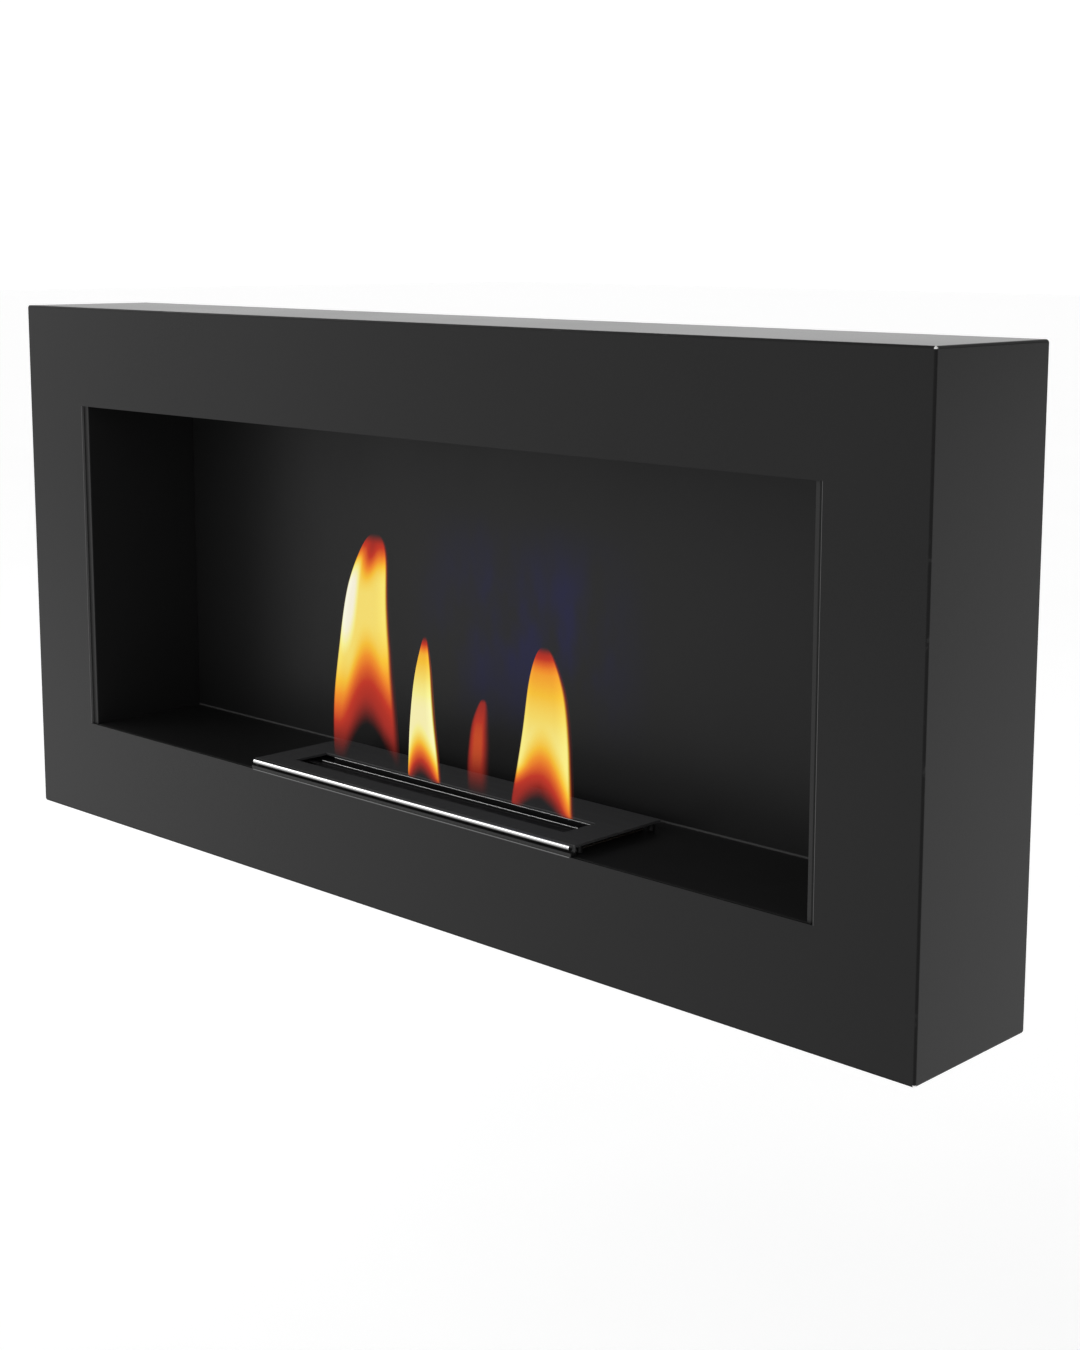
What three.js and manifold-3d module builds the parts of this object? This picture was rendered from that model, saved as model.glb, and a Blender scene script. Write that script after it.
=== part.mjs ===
// A wall-hung bioethanol fireplace: a folded steel casing with a lined firebox, and a slot
// burner that lifts out of the firebox floor and is closed by a sliding damper.
// Millimetres. +X is right, +Y is back and +Z is up. The origin is the middle of the casing's
// underside, and the casing's front face looks along -Y.
import * as THREE from "three";
import { mergeVertices } from "three/addons/utils/BufferGeometryUtils.js";
import Module from "manifold-3d";

const wasm = await Module();
wasm.setup();

// ---- Clearances ------------------------------------------------------------------------

const touch = 0.3; // gap between sheets that are welded, screwed or laid on each other
const slideGap = 0.3; // gap on each side of the sliding damper
const dropGap = 2; // gap round the tank where it drops through the firebox floor

// ---- Casing ----------------------------------------------------------------------------

const casingWidth = 900;
const casingHeight = 425;
const casingDepth = 118;
const casingSheet = 2;
const casingBend = 2; // outside radius of the four corners
const casingFold = 1.4; // outside radius of the folds round the front and the back
const rearReturn = 16; // width of the fold round the open back
const windowSideRail = 75; // front face left beside the window
const windowHeadRail = 80; // front face left above the window
const windowSill = 80; // front face left below the window

// ---- Firebox lining --------------------------------------------------------------------

const liningSheet = 1.2;
const liningFlange = 18; // flanges of the floor, ceiling and side walls
const liningReveal = 6; // how far the side walls stand inside the window
const rearCavity = 12; // firebox back wall to the casing's back
const insulationThickness = 4;

// ---- Rear panel and hangers ------------------------------------------------------------

const rearSheet = 1.2;
const ventLength = 70;
const ventWidth = 6;
const ventsPerRow = 7;
const ventPitch = 100;
const ventRowInset = 55; // rear panel edge to the lower vent row
const hangerSpacing = 600;
const hangerWidth = 64;
const hangerHeight = 46;
const hangerSheet = 2;
const hangerDrop = 36; // casing top to the middle of a hanger plate
const hangerHeadRadius = 6; // a wall screw's head goes in here
const hangerNeckWidth = 6; // and its shank hangs here
const hangerNeckLength = 15;
const hangerWindowMargin = 5; // rear panel opening beyond the keyhole
const rivetSpacing = 48;
const rivetRadius = 2;
const rivetHeadRadius = 3.4;
const rivetHeadHeight = 1.1;
const rearScrewRadius = 1.75;
const rearScrewHeadRadius = 3.4;
const rearScrewHeadHeight = 1.6;
const rearScrewLand = 0.3; // straight rim of the head
const rearScrewSink = 0.1; // head below the casing's back
const rearScrewsAcross = 3; // along the top, and along the bottom
const rearScrewEndInset = 60; // casing side to the first screw across
const rearScrewsUp = 2; // on each side
const rearScrewRise = 190; // between the screws on a side

// ---- Carriers inside the casing --------------------------------------------------------

const carrierSheet = 1.5;
const carrierWidth = 30;
const carrierRearGap = 12.7; // carrier to the lining's rear flange
const carrierSpacing = 520; // between the left and right carriers
const traySheet = 1;
const trayFlange = 8;
const trayGap = 4; // tank to tray, all round and below
const trayTank = 3; // more room in front of and behind the tank

// ---- Burner ----------------------------------------------------------------------------

const burnerOffset = 8.5; // burner's middle to the right of the casing's
const coverEndOverhang = 13.5; // cover beyond the tank at each end
const coverRearOverhang = 14.5; // cover beyond the tank at the back
const coverSheet = 2;
const lipHeight = 2.2; // folded front lip that stands on the sill
const slotWindowEndInset = 13; // tank end to the opening in the cover
const slotWindowFront = 21.5; // casing front to the opening
const slotWindowDepth = 30.5;
const trimHeight = 3.8;
const trimDepth = 3.4;
const trimEndInset = 2; // bar ends to the cover's ends
const spacerRadius = 2.5;
const spacerInset = 3.6; // cover end to a spacer's middle
const spacerFront = 12; // casing front to the front spacers
const spacerRear = 6; // cover rear edge to the rear spacers
const tankWidth = 310;
const tankHeight = 57;
const tankSheet = 1;
const tankFlange = 5.5;
const burnerToWall = 16; // cover's rear edge to the firebox back wall
const lidSheet = 1.2;
const lidLift = 0.3; // tank flange to lid
const screwRadius = 1.5;
const screwHeadRadius = 2.2;
const screwHeadHeight = 1.4;
const screwSpacing = 240;

// ---- Slot, damper and tool pocket ------------------------------------------------------

const edgeThickness = 0.8; // the two upstanding edges of the slot
const edgeBelowCover = 0.8; // edge tops below the cover's top
const edgeEndGap = 1; // edge ends to the ends of the cover's opening
const slotWidth = 11.5; // between the edges with the damper open
const slotBehindWindow = 2.4; // fixed edge to the rear of the cover's opening
const damperSheet = 1.2;
const damperFront = 13; // casing front to the damper's front edge
const damperEnd = 3; // damper beyond the cover's opening at each end
const toolHoleWidth = 12;
const toolHoleDepth = 10;
const toolHoleInset = 1; // left end of the cover's opening to the tool hole
const toolHoleBridge = 3.8; // damper left behind the tool hole
const pocketDepth = 8;
const pocketWall = 1;
const pocketGap = 0.5; // pocket beyond the tool hole
const guideWidth = 6;
const guideOverlap = 1.8; // guide lip over the damper's end
const guideLip = 0.6;
const guideLength = 48;
const guideStop = 1.2;

// ---- Inside the tank -------------------------------------------------------------------

const woolGap = 4; // tank walls to the wool
const gridSheet = 1;
const gridSlots = 16;
const gridSlotWidth = 6;
const gridSlotDepth = 40;
const gridSlotPitch = 17;
const gridBelowPocket = 1.9;

// ---- Places worked out from the sizes --------------------------------------------------
// Along X, the burner's and the damper's places are measured from the burner's own middle.

const frontY = -casingDepth / 2;
const backY = casingDepth / 2;
const windowHalf = casingWidth / 2 - windowSideRail;
const windowTop = casingHeight - windowHeadRail;
const sideWallX = windowHalf - liningReveal; // inner face of the side walls
const flangeFrontY = frontY + casingSheet + touch;
const backWallY = backY - rearCavity;
const liningBackY = backWallY - touch;
const floorZ = windowSill;
const panelFrontY = backY - casingSheet - touch - rearSheet;
const hangerFrontY = panelFrontY - touch - hangerSheet;
const hangerZ = casingHeight - hangerDrop;

const coverFrontY = frontY + trimDepth + touch;
const foldRearY = coverFrontY + coverSheet;

const tankHalf = tankWidth / 2;
const tankFrontY = foldRearY + touch + tankFlange;
const coverRearY = backWallY - burnerToWall;
const tankRearY = coverRearY - coverRearOverhang;
const tankMidY = (tankFrontY + tankRearY) / 2;
const tankRimZ = floorZ + touch; // underside of the tank's flange
const tankTopZ = tankRimZ + tankSheet;
const tankBottomZ = tankTopZ - tankHeight;
const lidZ = tankTopZ + lidLift;
const lidTopZ = lidZ + lidSheet;
const flangeHalf = tankHalf + tankFlange;

const damperZ = lidTopZ + slideGap;
const damperTopZ = damperZ + damperSheet;
const guideLipZ = damperTopZ + slideGap;
const guideTopZ = guideLipZ + guideLip;

const coverUnderZ = guideTopZ + touch;
const coverTopZ = coverUnderZ + coverSheet;
const coverHalf = tankHalf + coverEndOverhang;
const lipBottomZ = floorZ + touch;
const slotWindowHalf = tankHalf - slotWindowEndInset;
const slotWindowFrontY = frontY + slotWindowFront;
const slotWindowRearY = slotWindowFrontY + slotWindowDepth;

const edgeTopZ = coverTopZ - edgeBelowCover;
const fixedEdgeRearY = slotWindowRearY - slotBehindWindow;
const fixedEdgeFrontY = fixedEdgeRearY - edgeThickness;
const damperRearY = fixedEdgeFrontY - slotWidth;
const damperFrontY = frontY + damperFront;
const damperHalf = slotWindowHalf + damperEnd;
const damperTravel = slotWidth - slideGap;
const edgeHalf = slotWindowHalf - edgeEndGap;
const toolHoleX = -slotWindowHalf + toolHoleInset; // left side of the tool hole
const toolHoleRearY = damperRearY - toolHoleBridge;
const toolHoleFrontY = toolHoleRearY - toolHoleDepth;
const pocketBottomZ = lidTopZ - pocketDepth;
const gridZ = pocketBottomZ - pocketWall - gridBelowPocket - gridSheet;

// ---- Solids ----------------------------------------------------------------------------

// A closed three.js geometry as a solid that can be joined and cut.
function solid(geometry) {
  const bare = geometry.clone();
  bare.deleteAttribute("normal");
  bare.deleteAttribute("uv");
  const merged = mergeVertices(bare, 1e-4);
  return new wasm.Manifold(
    new wasm.Mesh({
      numProp: 3,
      vertProperties: new Float32Array(merged.attributes.position.array),
      triVerts: new Uint32Array(merged.index.array),
    }),
  );
}

// A solid as a named mesh.
function piece(name, body, material) {
  const { vertProperties, triVerts } = body.getMesh();
  const geometry = new THREE.BufferGeometry();
  geometry.setAttribute("position", new THREE.BufferAttribute(vertProperties, 3));
  geometry.setIndex(new THREE.BufferAttribute(triVerts, 1));
  geometry.computeVertexNormals();
  const mesh = new THREE.Mesh(geometry, material);
  mesh.name = name;
  return mesh;
}

// A box between two corners.
function block([x0, y0, z0], [x1, y1, z1]) {
  const box = new THREE.BoxGeometry(x1 - x0, y1 - y0, z1 - z0);
  return solid(box.translate((x0 + x1) / 2, (y0 + y1) / 2, (z0 + z1) / 2));
}

// An outline in X and Z, extruded along Y from y0 to y1.
function alongY(outline, y0, y1, options = {}) {
  const settings = { depth: y1 - y0, bevelEnabled: false, curveSegments: 8, ...options };
  const geometry = new THREE.ExtrudeGeometry(outline, settings);
  return solid(geometry.rotateX(Math.PI / 2).translate(0, y1, 0));
}

// An outline in Y and Z, extruded along X from x0 to x1.
function alongX(outline, x0, x1) {
  const settings = { depth: x1 - x0, bevelEnabled: false, curveSegments: 8 };
  const geometry = new THREE.ExtrudeGeometry(outline, settings);
  return solid(geometry.rotateX(Math.PI / 2).rotateZ(Math.PI / 2).translate(x0, 0, 0));
}

// An outline in X and Y, extruded along Z from z0 to z1.
function alongZ(outline, z0, z1) {
  const settings = { depth: z1 - z0, bevelEnabled: false, curveSegments: 8 };
  return solid(new THREE.ExtrudeGeometry(outline, settings).translate(0, 0, z0));
}

function polygon(points) {
  return new THREE.Shape(points.map(([u, v]) => new THREE.Vector2(u, v)));
}

function roundedRect(u0, v0, u1, v1, radius) {
  const shape = new THREE.Shape();
  shape.moveTo(u0 + radius, v0);
  shape.lineTo(u1 - radius, v0);
  shape.absarc(u1 - radius, v0 + radius, radius, -Math.PI / 2, 0);
  shape.lineTo(u1, v1 - radius);
  shape.absarc(u1 - radius, v1 - radius, radius, 0, Math.PI / 2);
  shape.lineTo(u0 + radius, v1);
  shape.absarc(u0 + radius, v1 - radius, radius, Math.PI / 2, Math.PI);
  shape.lineTo(u0, v0 + radius);
  shape.absarc(u0 + radius, v0 + radius, radius, Math.PI, 1.5 * Math.PI);
  return shape;
}

// A turned body round the Z axis, from a closed profile of [radius, height] points.
function turned(profile, segments = 16) {
  const points = profile.map(([r, z]) => new THREE.Vector2(r, z));
  return solid(new THREE.LatheGeometry(points, segments).rotateX(Math.PI / 2));
}

// A plain round bar along +Z from z0 to z1.
function bar(radius, z0, z1) {
  return turned([[0, z0], [radius, z0], [radius, z1], [0, z1]]);
}

function evenly(count, spread) {
  return Array.from({ length: count }, (_, i) => -spread / 2 + (spread * i) / (count - 1));
}

// ---- Materials -------------------------------------------------------------------------

function finish(colour, roughness, metalness) {
  return new THREE.MeshStandardMaterial({ color: colour, roughness, metalness });
}

const blackCoat = () => finish(0x2f2f30, 0.5, 0.1);
const innerCoat = () => finish(0x222223, 0.6, 0.1);
const polishedSteel = () => finish(0xdcdcdc, 0.15, 1);
const brushedSteel = () => finish(0x9b9b9b, 0.35, 1);
const zincSteel = () => finish(0xa8aaac, 0.45, 0.9);
const ceramicFibre = () => finish(0xe8e4da, 0.95, 0);

// ---- Casing pieces ---------------------------------------------------------------------

function casingShell() {
  const bevel = {
    bevelEnabled: true,
    bevelThickness: casingFold,
    bevelSize: casingFold,
    bevelOffset: -casingFold,
    bevelSegments: 4,
    curveSegments: 4,
  };
  const half = casingWidth / 2;
  const outline = roundedRect(-half, 0, half, casingHeight, casingBend);
  const outer = alongY(outline, frontY + casingFold, backY - casingFold, bevel);
  const inside = block(
    [-half + casingSheet, frontY + casingSheet, casingSheet],
    [half - casingSheet, backY - casingSheet, casingHeight - casingSheet],
  );
  const rearOpening = block(
    [-half + rearReturn, 0, rearReturn],
    [half - rearReturn, casingDepth, casingHeight - rearReturn],
  );
  const window = block([-windowHalf, -casingDepth, windowSill], [windowHalf, 0, windowTop]);
  let shell = outer.subtract(inside).subtract(rearOpening).subtract(window);
  for (const [x, z] of rearScrewPlaces()) shell = shell.subtract(rearScrewHole(x, z));
  return piece("casing_shell", shell, blackCoat());
}

// The profile of a lining sheet: a web at v from flange to flange, and its two flanges that
// turn away from the firebox, towards growing v when side is 1.
function liningProfile(side) {
  const sheet = side * liningSheet;
  const flange = side * liningFlange;
  return [
    [flangeFrontY, 0],
    [liningBackY, 0],
    [liningBackY, flange],
    [liningBackY - liningSheet, flange],
    [liningBackY - liningSheet, sheet],
    [flangeFrontY + liningSheet, sheet],
    [flangeFrontY + liningSheet, flange],
    [flangeFrontY, flange],
  ];
}

function fireboxFloor() {
  const outline = polygon(liningProfile(-1).map(([y, z]) => [y, floorZ + z]));
  const half = sideWallX - touch;
  const well = block(
    [burnerOffset - tankHalf - dropGap, tankFrontY - dropGap, floorZ - liningFlange / 2],
    [burnerOffset + tankHalf + dropGap, tankRearY + dropGap, floorZ + liningFlange / 2],
  );
  return piece("firebox_floor", alongX(outline, -half, half).subtract(well), innerCoat());
}

function fireboxCeiling() {
  const outline = polygon(liningProfile(1).map(([y, z]) => [y, windowTop + z]));
  const half = sideWallX - touch;
  return piece("firebox_ceiling", alongX(outline, -half, half), innerCoat());
}

function fireboxSideWall(name, side) {
  const outline = polygon(liningProfile(side).map(([y, x]) => [side * sideWallX + x, y]));
  const wall = alongZ(outline, windowSill - liningFlange, windowTop + liningFlange);
  return piece(name, wall, innerCoat());
}

function fireboxBackWall() {
  const half = sideWallX + liningFlange;
  const wall = block(
    [-half, backWallY, windowSill - liningFlange],
    [half, backWallY + liningSheet, windowTop + liningFlange],
  );
  return piece("firebox_back_wall", wall, innerCoat());
}

function insulationBoard() {
  const half = sideWallX + liningFlange;
  const boardFrontY = backWallY + liningSheet + touch;
  const board = block(
    [-half, boardFrontY, windowSill - liningFlange],
    [half, boardFrontY + insulationThickness, windowTop + liningFlange],
  );
  return piece("insulation_board", board, ceramicFibre());
}

// ---- Rear panel, hangers and their fasteners -------------------------------------------

function rearScrewPlaces() {
  const sideX = casingWidth / 2 - rearReturn / 2;
  const lowZ = rearReturn / 2;
  const highZ = casingHeight - rearReturn / 2;
  const across = evenly(rearScrewsAcross, casingWidth - 2 * rearScrewEndInset);
  const up = evenly(rearScrewsUp, rearScrewRise).map((dz) => casingHeight / 2 + dz);
  return [
    ...across.map((x) => [x, highZ]),
    ...up.map((z) => [sideX, z]),
    ...across.map((x) => [-x, lowZ]),
    ...up.map((z) => [-sideX, z]),
  ];
}

// A countersunk screw along +Y, or the hole for it when margin is its clearance.
function rearScrewBody(x, z, margin) {
  const tipY = panelFrontY - rearSheet;
  const topY = backY - rearScrewSink;
  const shank = rearScrewRadius + margin;
  const head = rearScrewHeadRadius + margin;
  const body = turned([
    [0, tipY],
    [shank, tipY],
    [shank, topY - rearScrewHeadHeight],
    [head, topY - rearScrewLand],
    [head, topY + margin],
    [0, topY + margin],
  ]);
  return body.rotate([-90, 0, 0]).translate([x, 0, z]);
}

function rearScrewHole(x, z) {
  return rearScrewBody(x, z, touch);
}

function rearPanel() {
  const edgeX = casingWidth / 2 - casingSheet - touch;
  const low = casingSheet + touch;
  const high = casingHeight - casingSheet - touch;
  let panel = block([-edgeX, panelFrontY, low], [edgeX, panelFrontY + rearSheet, high]);
  for (const [x, z] of rearScrewPlaces()) panel = panel.subtract(rearScrewHole(x, z));
  for (const x of [-hangerSpacing / 2, hangerSpacing / 2]) {
    panel = panel.subtract(hangerWindow(x));
    for (const dx of [-rivetSpacing / 2, rivetSpacing / 2])
      panel = panel.subtract(rivetShank(x + dx, rivetRadius + touch));
  }
  const rowSpread = ventPitch * (ventsPerRow - 1);
  for (const z of [low + ventRowInset, high - ventRowInset - hangerHeight])
    for (const x of evenly(ventsPerRow, rowSpread)) panel = panel.subtract(vent(x, z));
  return piece("rear_panel", panel, zincSteel());
}

function vent(x, z) {
  const [u, v] = [ventLength / 2, ventWidth / 2];
  return alongY(roundedRect(x - u, z - v, x + u, z + v, v * 0.98), 0, casingDepth);
}

// The opening in the rear panel through which a keyhole is reached.
function hangerWindow(x) {
  const half = hangerHeadRadius + hangerWindowMargin;
  const bottom = hangerZ - hangerHeadRadius - hangerWindowMargin - hangerNeckLength / 2;
  const top = hangerZ + hangerNeckLength / 2 + hangerWindowMargin;
  return alongY(roundedRect(x - half, bottom, x + half, top, hangerWindowMargin), 0, casingDepth);
}

function rivetShank(x, radius) {
  return bar(radius, hangerFrontY - casingSheet, backY)
    .rotate([-90, 0, 0])
    .translate([x, 0, hangerZ]);
}

function hangerPlate(name, x) {
  const [u, v] = [hangerWidth / 2, hangerHeight / 2];
  const plateEndY = hangerFrontY + hangerSheet;
  const outline = roundedRect(x - u, hangerZ - v, x + u, hangerZ + v, hangerWindowMargin);
  const neckTop = hangerZ + hangerNeckLength / 2;
  const neckHalf = hangerNeckWidth / 2;
  const head = bar(hangerHeadRadius, 0, casingDepth)
    .rotate([-90, 0, 0])
    .translate([x, 0, hangerZ - hangerNeckLength / 2]);
  const neck = block([x - neckHalf, 0, hangerZ - hangerNeckLength / 2], [x + neckHalf, backY, neckTop]);
  let plate = alongY(outline, hangerFrontY, plateEndY).subtract(head).subtract(neck);
  for (const dx of [-rivetSpacing / 2, rivetSpacing / 2])
    plate = plate.subtract(rivetShank(x + dx, rivetRadius + touch));
  return piece(name, plate, zincSteel());
}

// A rivet through the rear panel and a hanger plate, with a flat head outside and inside.
function hangerRivet(name, x) {
  const outerY = panelFrontY + rearSheet + touch;
  const innerY = hangerFrontY - touch;
  const body = turned([
    [0, innerY - rivetHeadHeight],
    [rivetHeadRadius, innerY - rivetHeadHeight],
    [rivetHeadRadius, innerY],
    [rivetRadius, innerY],
    [rivetRadius, outerY],
    [rivetHeadRadius, outerY],
    [rivetRadius, outerY + rivetHeadHeight],
    [0, outerY + rivetHeadHeight],
  ]);
  return piece(name, body.rotate([-90, 0, 0]).translate([x, 0, hangerZ]), zincSteel());
}

function hangers() {
  const pieces = [];
  for (const [side, sign] of [["left", -1], ["right", 1]]) {
    const x = (sign * hangerSpacing) / 2;
    pieces.push(hangerPlate("hanger_plate_" + side, x));
    pieces.push(hangerRivet("hanger_rivet_" + side + "_1", x - rivetSpacing / 2));
    pieces.push(hangerRivet("hanger_rivet_" + side + "_2", x + rivetSpacing / 2));
  }
  return pieces;
}

function rearScrews() {
  return rearScrewPlaces().map(([x, z], i) =>
    piece("rear_panel_screw_" + (i + 1), rearScrewBody(x, z, 0), zincSteel()),
  );
}

// ---- Carriers and drip tray ------------------------------------------------------------

// A channel that stands between two sheets, with its web on the side towards the middle.
function carrier(name, side, z0, z1) {
  const webX = (side * carrierSpacing) / 2;
  const outerX = webX + side * carrierWidth;
  const y0 = flangeFrontY + liningSheet + touch;
  const y1 = liningBackY - liningSheet - carrierRearGap;
  const [low, high] = [z0 + touch, z1 - touch];
  const sheet = (x, zLow, zHigh) =>
    block([Math.min(webX, x), y0, zLow], [Math.max(webX, x), y1, zHigh]);
  const channel = sheet(webX + side * carrierSheet, low, high)
    .add(sheet(outerX, low, low + carrierSheet))
    .add(sheet(outerX, high - carrierSheet, high));
  return piece(name, channel, zincSteel());
}

function dripTray() {
  const underFloor = floorZ - liningSheet - touch;
  const out = trayGap + traySheet;
  const [front, rear] = [tankFrontY - trayTank - traySheet, tankRearY + trayTank + traySheet];
  const bottom = tankBottomZ - trayGap - traySheet;
  const shell = block([-tankHalf - out, front, bottom], [tankHalf + out, rear, underFloor]);
  const flange = block(
    [-tankHalf - out - trayFlange, front, underFloor - traySheet],
    [tankHalf + out + trayFlange, rear + trayFlange, underFloor],
  );
  const hollow = block(
    [-tankHalf - trayGap, front + traySheet, bottom + traySheet],
    [tankHalf + trayGap, rear - traySheet, floorZ],
  );
  const tray = shell.add(flange).subtract(hollow).translate([burnerOffset, 0, 0]);
  return piece("drip_tray", tray, zincSteel());
}

// ---- Burner ----------------------------------------------------------------------------

function burnerCoverPlate() {
  const lipTopZ = lipBottomZ + lipHeight;
  const outline = polygon([
    [frontY, lipBottomZ],
    [foldRearY, lipBottomZ],
    [foldRearY, coverUnderZ],
    [coverRearY, coverUnderZ],
    [coverRearY, coverTopZ],
    [coverFrontY, coverTopZ],
    [coverFrontY, lipTopZ],
    [frontY, lipTopZ],
  ]);
  const opening = block(
    [-slotWindowHalf, slotWindowFrontY, coverUnderZ - coverSheet],
    [slotWindowHalf, slotWindowRearY, coverTopZ + coverSheet],
  );
  const plate = alongX(outline, -coverHalf, coverHalf).subtract(opening);
  return piece("burner_cover_plate", plate, blackCoat());
}

function burnerTrimBar() {
  const radius = trimHeight / 2;
  const middleZ = coverTopZ - radius;
  const outline = new THREE.Shape();
  outline.moveTo(frontY + trimDepth, middleZ - radius);
  outline.lineTo(frontY + trimDepth, middleZ + radius);
  outline.lineTo(frontY + radius, middleZ + radius);
  outline.absarc(frontY + radius, middleZ, radius, Math.PI / 2, 1.5 * Math.PI);
  const half = coverHalf - trimEndInset;
  return piece("burner_trim_bar", alongX(outline, -half, half), polishedSteel());
}

function coverSpacers() {
  const x = coverHalf - spacerInset;
  const rearY = coverRearY - spacerRear;
  const body = bar(spacerRadius, floorZ + touch, coverUnderZ - touch);
  const places = [[-x, frontY + spacerFront], [x, frontY + spacerFront], [x, rearY], [-x, rearY]];
  return places.map(([px, py], i) =>
    piece("cover_spacer_" + (i + 1), body.translate([px, py, 0]), blackCoat()),
  );
}

function fuelReservoir() {
  const outer = block([-tankHalf, tankFrontY, tankBottomZ], [tankHalf, tankRearY, tankTopZ]);
  const rim = block(
    [-flangeHalf, tankFrontY - tankFlange, tankRimZ],
    [flangeHalf, tankRearY + tankFlange, tankTopZ],
  );
  const hollow = block(
    [-tankHalf + tankSheet, tankFrontY + tankSheet, tankBottomZ + tankSheet],
    [tankHalf - tankSheet, tankRearY - tankSheet, coverTopZ],
  );
  let tank = outer.add(rim).subtract(hollow);
  for (const [x, y] of lidScrewPlaces()) tank = tank.subtract(lidScrewHole(x, y));
  return piece("fuel_reservoir", tank, brushedSteel());
}

// An upstanding edge of the slot, from the tool hole to the far end.
function slotEdge(y0, y1, z0) {
  return block([toolHoleX + toolHoleWidth + pocketGap, y0, z0], [edgeHalf, y1, edgeTopZ]);
}

function burnerLid() {
  const plate = block(
    [-flangeHalf, tankFrontY - tankFlange, lidZ],
    [flangeHalf, tankRearY + tankFlange, lidTopZ],
  );
  const throat = block(
    [toolHoleX + toolHoleWidth + 2 * pocketWall + pocketGap, damperRearY + touch, lidZ - lidSheet],
    [edgeHalf, fixedEdgeFrontY, lidTopZ + lidSheet],
  );
  const [x0, x1] = [toolHoleX - pocketGap, toolHoleX + toolHoleWidth + pocketGap];
  const [y0, y1] = [toolHoleFrontY - pocketGap, toolHoleRearY + damperTravel + pocketGap];
  const cup = block(
    [x0 - pocketWall, y0 - pocketWall, pocketBottomZ - pocketWall],
    [x1 + pocketWall, y1 + pocketWall, lidTopZ],
  );
  const pocket = block([x0, y0, pocketBottomZ], [x1, y1, coverTopZ]);
  let lid = plate.subtract(throat).add(cup).subtract(pocket);
  lid = lid.add(slotEdge(fixedEdgeFrontY, fixedEdgeRearY, lidZ));
  for (const [x, y] of lidScrewPlaces()) lid = lid.subtract(lidScrewHole(x, y));
  return piece("burner_lid", lid, brushedSteel());
}

function lidScrewPlaces() {
  const y = tankFlange / 2;
  const x = screwSpacing / 2;
  const [front, rear] = [tankFrontY - y, tankRearY + y];
  return [[-x, front], [x, front], [x, rear], [-x, rear]];
}

function lidScrewHole(x, y) {
  return bar(screwRadius + touch, floorZ - liningSheet, coverTopZ).translate([x, y, 0]);
}

function lidScrews() {
  const headZ = lidTopZ + touch;
  const body = turned([
    [0, tankRimZ],
    [screwRadius, tankRimZ],
    [screwRadius, headZ],
    [screwHeadRadius, headZ],
    [screwHeadRadius, headZ + screwHeadHeight / 2],
    [screwHeadRadius / 2, headZ + screwHeadHeight],
    [0, headZ + screwHeadHeight],
  ]);
  return lidScrewPlaces().map(([x, y], i) =>
    piece("lid_screw_" + (i + 1), body.translate([x, y, 0]), brushedSteel()),
  );
}

function damperGuide(name, side) {
  const inner = side * (damperHalf + slideGap);
  const outer = inner + side * guideWidth;
  const lipX = inner - side * guideOverlap;
  const [front, base] = [damperFrontY - slideGap - guideStop, lidTopZ + touch];
  const span = (a, b, y1, z0, z1) =>
    block([Math.min(a, b), front, z0], [Math.max(a, b), y1, z1]);
  const guide = span(inner, outer, front + guideLength, base, guideTopZ)
    .add(span(lipX, outer, front + guideLength, guideLipZ, guideTopZ))
    .add(span(lipX, outer, front + guideStop, base, guideTopZ));
  return piece(name, guide, brushedSteel());
}

function ceramicWool() {
  const inset = tankSheet + woolGap;
  const bottom = tankBottomZ + tankSheet + touch;
  const pad = block(
    [-tankHalf + inset, tankFrontY + inset, bottom],
    [tankHalf - inset, tankRearY - inset, gridZ - touch],
  );
  return piece("ceramic_wool", pad, ceramicFibre());
}

function woolGrid() {
  const inset = tankSheet + touch;
  let grid = block(
    [-tankHalf + inset, tankFrontY + inset, gridZ],
    [tankHalf - inset, tankRearY - inset, gridZ + gridSheet],
  );
  for (const x of evenly(gridSlots, gridSlotPitch * (gridSlots - 1))) {
    grid = grid.subtract(
      block(
        [x - gridSlotWidth / 2, tankMidY - gridSlotDepth / 2, gridZ - gridSheet],
        [x + gridSlotWidth / 2, tankMidY + gridSlotDepth / 2, gridZ + 2 * gridSheet],
      ),
    );
  }
  return piece("wool_grid", grid, brushedSteel());
}

// ---- Damper ----------------------------------------------------------------------------

function damperStrip() {
  const plate = block([-damperHalf, damperFrontY, damperZ], [damperHalf, damperRearY, damperTopZ]);
  const hole = block(
    [toolHoleX, toolHoleFrontY, damperZ - damperSheet],
    [toolHoleX + toolHoleWidth, toolHoleRearY, coverTopZ],
  );
  const edge = slotEdge(damperRearY - edgeThickness, damperRearY, damperZ);
  return piece("damper_strip", plate.subtract(hole).add(edge), blackCoat());
}

// ---- Assembly --------------------------------------------------------------------------

const casing = new THREE.Group();
casing.add(
  casingShell(),
  fireboxFloor(),
  fireboxCeiling(),
  fireboxSideWall("firebox_left_wall", -1),
  fireboxSideWall("firebox_right_wall", 1),
  fireboxBackWall(),
  insulationBoard(),
  rearPanel(),
  ...hangers(),
  ...rearScrews(),
  carrier("floor_support_left", -1, casingSheet, floorZ - liningSheet),
  carrier("floor_support_right", 1, casingSheet, floorZ - liningSheet),
  carrier("ceiling_tie_left", -1, windowTop + liningSheet, casingHeight - casingSheet),
  carrier("ceiling_tie_right", 1, windowTop + liningSheet, casingHeight - casingSheet),
  dripTray(),
);

const burner = new THREE.Group();
burner.add(
  burnerCoverPlate(),
  burnerTrimBar(),
  ...coverSpacers(),
  burnerLid(),
  ...lidScrews(),
  fuelReservoir(),
  ceramicWool(),
  woolGrid(),
  damperGuide("damper_guide_left", -1),
  damperGuide("damper_guide_right", 1),
);

const damper = new THREE.Group();
damper.add(damperStrip());

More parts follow.
